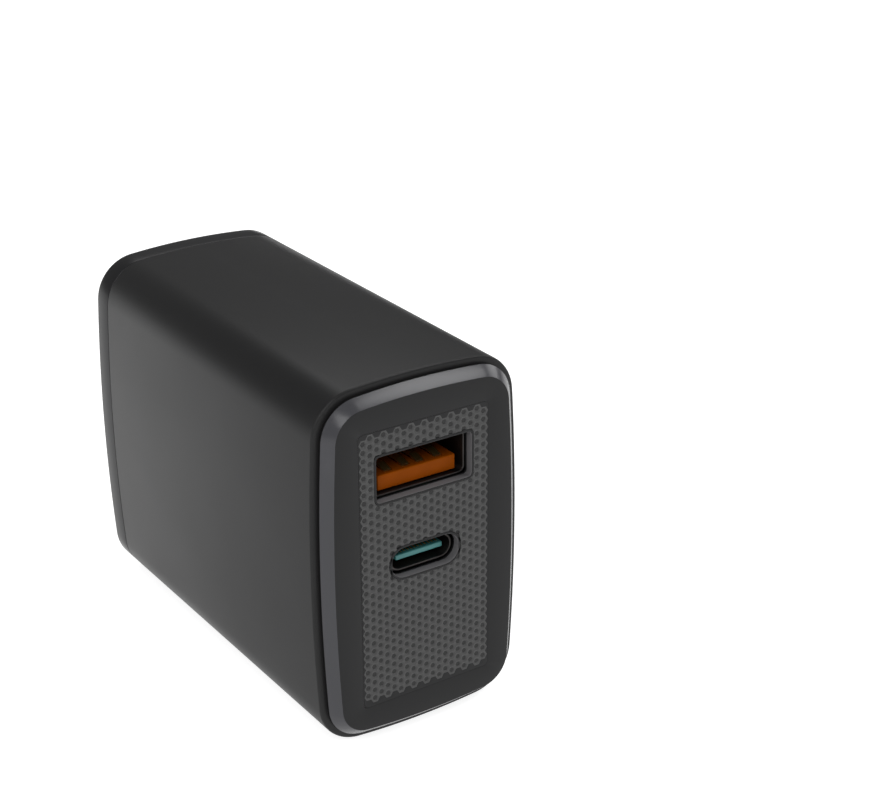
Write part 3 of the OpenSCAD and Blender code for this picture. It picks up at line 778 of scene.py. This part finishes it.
cut_by(usb_a_tongue, [block((x - A_SLOT_W / 2, a_tongue_low.y + 0.6 * MM,
                             A_TONGUE_TOP - A_SLOT_DEPTH),
                            (x + A_SLOT_W / 2, A_ROOT_Y, A_TONGUE_TOP + MM))
                      for x in A_CONTACT_X])
stands_for(usb_a_tongue, "usb_a_tongue")


def finish_node(node, material):
    """Gives a CAD node its finish, where its shape is right as it is."""
    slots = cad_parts[node].data.materials
    for i in range(len(slots)):
        slots[i] = material


contact_gold = rolled("contact_gold", (0.83, 0.56, 0.2), (0.62, 0.4, 0.15), 0.4, lines=20000,
                      depth=0.06, variation=0.12)
for node in ("usb_a_contacts", "usb_a_pins"):
    finish_node(node, contact_gold)

# ---- USB-C receptacle ----
# A drawn steel shell with round ends, short enough that it stands on a moulded riser. Its thin
# teal tongue carries twelve gold contacts on each face.
C_SHELL_W = 8.94 * MM
C_SHELL_H = 3.26 * MM
C_SHELL_R = 1.6 * MM
C_TONGUE_W = 6.6 * MM
C_TONGUE_T = 0.7 * MM
c_shell_low, c_shell_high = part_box("usb_c_shell")
c_tongue_low, c_tongue_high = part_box("usb_c_tongue")
usb_c_shell = piece("usb_c_socket_shell", tube(
    C_SHELL_W, C_SHELL_H, C_SHELL_R, USB_C_Z, c_shell_low.y, c_shell_high.y, SHELL_T), shell_steel)
stands_for(usb_c_shell, "usb_c_shell")
teal_plastic = moulded("teal_plastic", (0.042, 0.18, 0.176), 0.4, grains=16000, depth=0.06,
                       variation=0.15, wear_and_highlight=0.3, worn_and_lit=1.4)
plug_y = c_tongue_high.y - 2 * MM
bm = block((-C_TONGUE_W / 2, c_tongue_low.y, USB_C_Z - C_TONGUE_T / 2),
           (C_TONGUE_W / 2, plug_y + 0.1 * MM, USB_C_Z + C_TONGUE_T / 2), 0.14 * MM)
usb_c_tongue = piece("usb_c_teal_tongue", bm, teal_plastic)
plug_gap = SHELL_T + FIT
cut_by(usb_c_tongue, [prism(C_SHELL_W, C_SHELL_H, C_SHELL_R, USB_C_Z, plug_y,
                            c_tongue_high.y, -plug_gap)], "UNION")
stands_for(usb_c_tongue, "usb_c_tongue")
finish_node("usb_c_contacts", contact_gold)
riser_plastic = moulded("riser_plastic", (0.012, 0.012, 0.013), 0.5, wear_and_highlight=0.2)


def cad_copy(node):
    """A merged copy of a CAD node's mesh, with its flat faces made whole."""
    bm = bmesh.new()
    bm.from_mesh(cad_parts[node].data)
    bmesh.ops.remove_doubles(bm, verts=bm.verts, dist=1e-6)
    bmesh.ops.dissolve_limit(bm, angle_limit=math.radians(1), verts=bm.verts, edges=bm.edges)
    return bm


def refined(name, node, material, radius, steps=3, angle=40):
    """A copy of a CAD node with its sharp edges rounded, which stands for it."""
    bm = cad_copy(node)
    soften(bm, radius, steps, angle)
    obj = piece(name, bm, material)
    stands_for(obj, node)
    return obj


refined("usb_c_riser_block", "usb_c_riser", riser_plastic, 0.2 * MM)

# ---- Rear cap ----
# A smooth glossy cap with a rounded rim. Its skirt is glued inside the sleeve, and the blades
# come through two slots in its face.
CAP_BAND = 3.4 * MM
CAP_FLOOR = 2.4 * MM
CAP_ROUND = 0.5 * MM
SKIRT_T = 1.25 * MM
cap_low, cap_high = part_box("rear_cap")
cap_plastic = moulded("cap_plastic", (0.015, 0.015, 0.0158), 0.3, grains=9000, depth=0.05,
                      variation=0.1, wear_and_highlight=0.35, worn_and_lit=1.6, specular=0.18)
bm = bmesh.new()
sweep(bm, [case_loop(bm, inset, y) for inset, y in (
    (SKIRT_INSET + SKIRT_T, -CAP_FLOOR), (SKIRT_INSET + SKIRT_T, cap_low.y),
    (SKIRT_INSET, cap_low.y), (SKIRT_INSET, -CAP_BAND), (0, -CAP_BAND), (0, cap_high.y))],
      closed=False)
soften(bm, CAP_ROUND, 5, only=edge_at(1, cap_high.y))
soften(bm, SLEEVE_REAR_ROUND, 3, only=edge_at(1, -CAP_BAND))
soften(bm, 0.15 * MM, 2, only=edge_at(1, cap_low.y))
rear_cap = piece("rear_cap_cover", bm, cap_plastic)

# ---- Mains blades ----
# Two flat blades of nickel plated brass with a round hole and a bevelled, rounded tip. They are
# moulded into an insulating carrier behind the cap, which grips their shoulders.
BLADE_PITCH = 12.7 * MM
BLADE_W = 6.35 * MM
BLADE_T = 1.5 * MM
TIP_DROP = 1.6 * MM
TIP_HALF_T = 0.25 * MM
TIP_BEVEL_L = 1.5 * MM
HOLE_R = 1.6 * MM
HOLE_Y = 10.8 * MM
SHOULDER = 0.9 * MM
SHOULDER_L = 1 * MM
BLADE_ROUND = 0.1 * MM
carrier_low, carrier_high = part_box("blade_carrier")
nickel = rolled("polished_nickel", (0.62, 0.62, 0.6), (0.5, 0.5, 0.47), 0.16, lines=9000,
                depth=0.12, variation=0.14)
for node, side in (("line_blade", 1), ("neutral_blade", -1)):
    blade_low, blade_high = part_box(node)
    tip_r = (BLADE_W ** 2 / 4 + TIP_DROP ** 2) / (2 * TIP_DROP)
    base_z = side * BLADE_PITCH / 2 - BLADE_T / 2
    half = BLADE_W / 2
    bm = bmesh.new()
    down_side = [(half, blade_high.y - TIP_DROP), (half, carrier_low.y),
                 (half + SHOULDER, carrier_low.y), (half + SHOULDER, carrier_low.y - SHOULDER_L),
                 (half, carrier_low.y - SHOULDER_L), (half, blade_low.y)]
    right = [bm.verts.new((x, y, base_z)) for x, y in down_side]
    left = [bm.verts.new((-x, y, base_z)) for x, y in down_side[1:]]
    tip_end = arc(bm, right[0], (0, blade_high.y - tip_r, base_z),
                  2 * math.asin(half / tip_r), 24, axis=(0, 0, 1))
    path = right + left[::-1] + [tip_end]
    for a, b in zip(path, path[1:]):
        bm.edges.new((a, b))
    outline = list(bm.edges)
    hole = bmesh.ops.create_circle(bm, segments=48, radius=HOLE_R)["verts"]
    bmesh.ops.translate(bm, verts=hole, vec=(0, HOLE_Y, base_z))
    fill_between(bm, outline, [e for e in bm.edges if e.verts[0] in set(hole)])
    raised = bmesh.ops.extrude_face_region(bm, geom=list(bm.faces))["geom"]
    bmesh.ops.translate(bm, verts=[v for v in raised if isinstance(v, bmesh.types.BMVert)],
                        vec=(0, 0, BLADE_T))
    for face_side in (-1, 1):
        slope = Vector((0, BLADE_T / 2 - TIP_HALF_T, face_side * TIP_BEVEL_L)).normalized()
        cut = bmesh.ops.bisect_plane(
            bm, geom=bm.verts[:] + bm.edges[:] + bm.faces[:], dist=1e-7, plane_no=slope,
            plane_co=(0, blade_high.y, side * BLADE_PITCH / 2 + face_side * TIP_HALF_T),
            clear_outer=True)["geom_cut"]
        bmesh.ops.contextual_create(bm, geom=[e for e in cut if isinstance(e, bmesh.types.BMEdge)])
    bmesh.ops.recalc_face_normals(bm, faces=bm.faces)
    soften(bm, BLADE_ROUND, 3, angle=20)
    stands_for(piece(node + "_pin", bm, nickel, sharp=30), node)
slot_gap = 0.04 * MM
cut_by(rear_cap, [prism(BLADE_W + 2 * slot_gap, BLADE_T + 2 * slot_gap, 0.12 * MM,
                        side * BLADE_PITCH / 2, -CAP_FLOOR - MM, MM) for side in (-1, 1)])
stands_for(rear_cap, "rear_cap")
carrier_plastic = moulded("carrier_plastic", (0.03, 0.03, 0.031), 0.5, grains=5000, depth=0.2,
                          wear_and_highlight=0.2)
refined("blade_carrier_block", "blade_carrier", carrier_plastic, 0.25 * MM)
bare_copper = rolled("bare_copper", (0.72, 0.36, 0.2), (0.5, 0.25, 0.14), 0.3, lines=7000,
                     depth=0.14, variation=0.15)
for node in ("line_contact", "neutral_contact"):
    refined(node + "_strip", node, bare_copper, 0.08 * MM, 2)

# ---- Circuit boards ----
# Glass-filled boards under green solder mask, with copper tracks that show through it a little
# lighter. The main board slides into channels of the sleeve and the port board is soldered to it.
board_green, tree, shader = new_material("board_green")
where = keyed(tree, "ShaderNodeTexCoord", (-1200, 0))
turned = keyed(tree, "ShaderNodeMapping", (-1000, 0))
turned.inputs["Rotation"].default_value = (math.radians(90), math.radians(90), 0)
tracks = keyed(tree, "ShaderNodeTexBrick", (-750, 100))
tracks.inputs["Scale"].default_value = 130.0
tracks.inputs["Mortar Size"].default_value = 0.08
tracks.inputs["Color1"].default_value = (0.008, 0.06, 0.03, 1)
tracks.inputs["Color2"].default_value = (0.01, 0.075, 0.036, 1)
tracks.inputs["Mortar"].default_value = (0.03, 0.15, 0.07, 1)
relief = keyed(tree, "ShaderNodeBump", (-300, -200))
relief.inputs["Strength"].default_value = 0.3
relief.inputs["Distance"].default_value = 0.03 * MM
grain = keyed(tree, "ShaderNodeGroup", (-300, -400), node_tree=mould_grain)
grain.inputs["Roughness"].default_value = 0.28
tree.links.new(where.outputs["Object"], turned.inputs["Vector"])
tree.links.new(turned.outputs["Vector"], tracks.inputs["Vector"])
tree.links.new(tracks.outputs["Color"], shader.inputs["Base Color"])
tree.links.new(tracks.outputs["Fac"], relief.inputs["Height"])
tree.links.new(relief.outputs["Normal"], shader.inputs["Normal"])
tree.links.new(grain.outputs["Roughness"], shader.inputs["Roughness"])
for node in ("main_board", "port_board"):
    finish_node(node, board_green)

# ---- Transformer ----
# Two ground ferrite halves clamp a black bobbin. It carries enamelled copper wire under three
# layers of yellow polyester tape.
ferrite = moulded("ground_ferrite", (0.03, 0.03, 0.033), 0.55, grains=3500, depth=0.5,
                  variation=0.2, wear_and_highlight=0.5, worn_and_lit=2.5)
refined("transformer_ferrite", "transformer_core", ferrite, 0.25 * MM)
bobbin_plastic = moulded("bobbin_plastic", (0.01, 0.01, 0.011), 0.4, wear_and_highlight=0.3)
refined("transformer_former", "transformer_bobbin", bobbin_plastic, 0.08 * MM, 2)


def layered(name, colour, shade, roughness, bands_per_metre, direction, depth, metallic=0.0):
    """A wound layer: parallel bands across that direction, as wire turns or tape edges. The grooves
    between the bands take the darker shade colour as painted shade.
    """
    material, tree, shader = new_material(name)
    where = keyed(tree, "ShaderNodeTexCoord", (-900, 0))
    bands = keyed(tree, "ShaderNodeTexWave", (-650, 0), wave_type="BANDS",
                  bands_direction=direction)
    bands.inputs["Scale"].default_value = bands_per_metre / (2 * math.pi) * math.pi / 10
    bands.inputs["Distortion"].default_value = 0.4
    mix = keyed(tree, "ShaderNodeMix", (-300, 100), data_type="RGBA")
    # The grooves, low in the bump, get the darker colour: painted shade.
    mix.inputs["A"].default_value = (*shade, 1)
    mix.inputs["B"].default_value = (*colour, 1)
    relief = keyed(tree, "ShaderNodeBump", (-300, -150))
    relief.inputs["Strength"].default_value = depth
    relief.inputs["Distance"].default_value = 0.1 * MM
    grain = keyed(tree, "ShaderNodeGroup", (-300, -350), node_tree=mould_grain)
    grain.inputs["Roughness"].default_value = roughness
    tree.links.new(where.outputs["Object"], bands.inputs["Vector"])
    tree.links.new(bands.outputs["Fac"], mix.inputs["Factor"])
    tree.links.new(bands.outputs["Fac"], relief.inputs["Height"])
    tree.links.new(mix.outputs["Result"], shader.inputs["Base Color"])
    tree.links.new(relief.outputs["Normal"], shader.inputs["Normal"])
    tree.links.new(grain.outputs["Roughness"], shader.inputs["Roughness"])
    shader.inputs["Metallic"].default_value = metallic
    return material


finish_node("transformer_winding", layered("enamelled_turns", (0.6, 0.24, 0.08),
                                           (0.2, 0.06, 0.02), 0.25, 2500, "X", 0.8, 0.7))
finish_node("transformer_tape", layered("yellow_tape", (0.75, 0.5, 0.04), (0.62, 0.4, 0.03),
                                        0.3, 600, "Y", 0.2))

# ---- Capacitor cans ----
# Electrolytic capacitors: an aluminium can crimped on its rubber bung, the mains-side ones in a
# dark shrunk sleeve that leaves the scored top bare.
CRIMP_DEPTH = 0.35 * MM
SLEEVE_CURL = 0.9 * MM
TOP_DIP = 0.12 * MM
VENT_W = 0.16 * MM


def can(bm, base, turn, r, length, crimp):
    """Adds one can that stands on base, its axis +X turned about Z by turn degrees."""
    old = set(bm.verts)
    profile = [(0, 0), (0, r - 0.5 * MM), (0.4 * MM, r), (crimp, r),
               (crimp + 0.3 * MM, r - CRIMP_DEPTH), (crimp + 0.7 * MM, r - CRIMP_DEPTH),
               (crimp + MM, r), (length - 0.5 * MM, r), (length - 0.15 * MM, r - 0.15 * MM),
               (length, r - 0.5 * MM), (length, r - SLEEVE_CURL),
               (length - TOP_DIP, r - SLEEVE_CURL), (length - TOP_DIP, 0)]
    verts = [bm.verts.new((along, 0, out)) for along, out in profile]
    edges = [bm.edges.new(pair) for pair in zip(verts, verts[1:])]
    bmesh.ops.spin(bm, geom=verts + edges, cent=(0, 0, 0), axis=(1, 0, 0), angle=2 * math.pi,
                   steps=40, use_merge=True, use_duplicate=False)
    new = [v for v in bm.verts if v not in old]
    bmesh.ops.remove_doubles(bm, verts=new, dist=1e-6)
    new = [v for v in bm.verts if v not in old]
    top = {f for v in new for f in v.link_faces
           if f.calc_center_median().x > length - 0.2 * MM
           and f.calc_center_median().yz.length < r - SLEEVE_CURL - 1e-5}
    for f in top:
        f.material_index = 1
    bmesh.ops.rotate(bm, verts=new, cent=(0, 0, 0),
                     matrix=Matrix.Rotation(math.radians(turn), 3, "Z"))
    bmesh.ops.translate(bm, verts=new, vec=base)


def score(place, turn, length):
    """Cutters for the cross that is scored in a can's top."""
    marks = []
    for size in ((VENT_W, length), (length, VENT_W)):
        bm = block((-TOP_DIP, -size[0] / 2, -size[1] / 2), (TOP_DIP, size[0] / 2, size[1] / 2))
        bmesh.ops.rotate(bm, verts=bm.verts, cent=(0, 0, 0),
                         matrix=Matrix.Rotation(math.radians(turn), 3, "Z"))
        bmesh.ops.translate(bm, verts=bm.verts, vec=place)
        marks.append(bm)
    return marks


can_sleeve = moulded("can_sleeve", (0.012, 0.012, 0.04), 0.25, grains=2500, depth=0.1,
                     variation=0.15, wear_and_highlight=0.2)
can_aluminium = rolled("can_aluminium", (0.62, 0.62, 0.62), (0.5, 0.5, 0.5), 0.3, depth=0.1)
for name, node, slot, side, turn, crimp in (
        ("bulk_capacitor_cans", "bulk_capacitors", "can_sleeve", can_sleeve, 0, 2 * MM),
        ("bias_capacitor_can", "bias_capacitor", "can_sleeve", can_sleeve, 0, 1 * MM),
        ("output_capacitor_cans", "output_capacitors", "can_aluminium", can_aluminium, -90,
         1 * MM)):
    low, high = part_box(node)
    r = (high.z - low.z) / 2
    middle_z = (low.z + high.z) / 2
    if turn:
        length = high.y - low.y
        bases = [Vector((x, high.y, middle_z)) for x in (low.x + r, high.x - r)]
        along = Vector((0, -1, 0))
    else:
        length = high.x - low.x
        bases = [Vector((low.x, y, middle_z)) for y in {low.y + r, high.y - r}
                 if high.y - low.y > 3 * r or y == low.y + r]
        along = Vector((1, 0, 0))
    bm = bmesh.new()
    for base in bases:
        can(bm, base, turn, r, length, crimp)
    bmesh.ops.recalc_face_normals(bm, faces=bm.faces)
    cans = piece(name, bm, side, can_aluminium)
    cut_by(cans, [mark for base in bases
                  for mark in score(base + along * (length - TOP_DIP), turn, r)])
    stands_for(cans, node)

# ---- Choke ----
# A coated ferrite ring with seven turns of thick enamelled wire on each side.
WIRE = 0.8 * MM
TURNS = 7
choke_low, choke_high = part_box("choke_core")
choke_centre = (choke_low + choke_high) / 2
RING_OUT = 6 * MM
RING_IN = 3.1 * MM
coated_ferrite = moulded("coated_ferrite", (0.03, 0.09, 0.045), 0.35, grains=3000, depth=0.3,
                         wear_and_highlight=0.3)
refined("choke_ring", "choke_core", coated_ferrite, 0.4 * MM)
enamel = moulded("wire_enamel", (0.5, 0.18, 0.05), 0.2, grains=4000, depth=0.05, variation=0.1,
                 wear_and_highlight=0.2, worn_and_lit=1.4, coat=0.6)
turn_bm = tube(RING_OUT - RING_IN + 2 * WIRE, choke_high.y - choke_low.y + 2 * WIRE, 0.9 * MM, 0,
               -WIRE / 2, WIRE / 2, WIRE)
bmesh.ops.rotate(turn_bm, verts=turn_bm.verts, cent=(0, 0, 0),
                 matrix=Matrix.Rotation(math.radians(90), 3, "X"))
bmesh.ops.translate(turn_bm, verts=turn_bm.verts, vec=((RING_OUT + RING_IN) / 2, 0, 0))
turn_mesh = bpy.data.meshes.new("one_turn")
turn_bm.to_mesh(turn_mesh)
turn_bm.free()
pitch = 2 * math.asin(WIRE * 1.02 / 2 / (RING_IN - WIRE / 2))
bm = bmesh.new()
for side in (0, math.pi):
    for i in range(TURNS):
        old = len(bm.verts)
        bm.from_mesh(turn_mesh)
        bm.verts.ensure_lookup_table()
        bmesh.ops.rotate(bm, verts=bm.verts[old:], cent=(0, 0, 0), matrix=Matrix.Rotation(
            side + (i - (TURNS - 1) / 2) * pitch, 3, "Y"))
bmesh.ops.translate(bm, verts=bm.verts, vec=choke_centre)
bpy.data.meshes.remove(turn_mesh)
stands_for(piece("choke_wire_turns", bm, enamel), "choke_winding")

# ---- Dipped discs ----
# The Y capacitor and the inrush thermistor: ceramic discs dipped in lacquer, on two tinned wires.
LEG_R = 0.35 * MM
blue_lacquer = moulded("blue_lacquer", (0.02, 0.09, 0.3), 0.25, grains=2500, depth=0.3,
                       variation=0.15, wear_and_highlight=0.2)
green_lacquer = moulded("green_lacquer", (0.02, 0.06, 0.03), 0.35, grains=2500, depth=0.4,
                        variation=0.15, wear_and_highlight=0.2)
tinned_wire = rolled("tinned_wire", (0.6, 0.6, 0.58), (0.45, 0.45, 0.43), 0.3)
for name, node, slot, lacquer in (
        ("y_capacitor_disc", "y_capacitor", "capacitor_blue", blue_lacquer),
        ("thermistor_disc", "inrush_thermistor", "thermistor_green", green_lacquer)):
    low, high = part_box(node)
    r = (high.y - low.y) / 2
    thickness = high.z - low.z
    centre = Vector((high.x - r, (low.y + high.y) / 2, (low.z + high.z) / 2))
    bm = bmesh.new()
    bmesh.ops.create_cone(bm, cap_ends=True, segments=48, radius1=r, radius2=r, depth=thickness)
    soften(bm, thickness * 0.42, 6)
    bmesh.ops.translate(bm, verts=bm.verts, vec=centre)
    for side in (-1, 1):
        leg = bmesh.ops.create_cone(bm, cap_ends=True, segments=16, radius1=LEG_R, radius2=LEG_R,
                                    depth=centre.x - low.x)["verts"]
        for f in {f for v in leg for f in v.link_faces}:
            f.material_index = 1
        bmesh.ops.rotate(bm, verts=leg, cent=(0, 0, 0),
                         matrix=Matrix.Rotation(math.radians(90), 3, "Y"))
        bmesh.ops.translate(bm, verts=leg, vec=((centre.x + low.x) / 2,
                                                centre.y + side * r * 0.6, centre.z))
    stands_for(piece(name, bm, lacquer, tinned_wire), node)

# ---- Boxed and chip parts ----
# Moulded bodies with rounded edges, soldered flat to the boards.
chip_plastic = moulded("chip_plastic", (0.01, 0.01, 0.011), 0.55, grains=6000, depth=0.4, wear_and_highlight=0.2)
for node in ("bridge_rectifier", "optocoupler", "power_switch", "sync_rectifier",
             "pwm_controller", "protocol_chip"):
    refined(node + "_body", node, chip_plastic, 0.14 * MM, 2)
fuse_brown = moulded("fuse_brown", (0.13, 0.04, 0.015), 0.4, wear_and_highlight=0.3)
refined("fuse_body", "fuse", fuse_brown, 0.7 * MM, 5)
box_yellow = moulded("box_yellow", (0.6, 0.4, 0.05), 0.35, grains=4000, depth=0.2, wear_and_highlight=0.2)
refined("x_capacitor_box", "x_capacitor", box_yellow, 0.4 * MM)
inductor_grey = moulded("inductor_grey", (0.05, 0.05, 0.053), 0.6, grains=2500, depth=0.6,
                        wear_and_highlight=0.4)
refined("output_inductor_body", "output_inductor", inductor_grey, 0.45 * MM)

# ---- Heat path and insulation ----
# Soft silicone pads carry heat from the two hot chips to a thin aluminium sheet, and an ivory
# film keeps the mains-side parts off the other wall.
pad_grey = moulded("pad_grey", (0.28, 0.31, 0.35), 0.7, grains=2500, depth=0.5, wear_and_highlight=0.0)
refined("thermal_pad_pair", "thermal_pads", pad_grey, 0.12 * MM, 2)
finish_node("heat_spreader", rolled("spreader_aluminium", (0.68, 0.68, 0.69), (0.56, 0.56, 0.57),
                                    0.32, lines=5000, depth=0.15))
finish_node("insulation_sheet", moulded("ivory_film", (0.72, 0.66, 0.5), 0.3, grains=1500,
                                        depth=0.15, wear_and_highlight=0.0))

low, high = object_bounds()
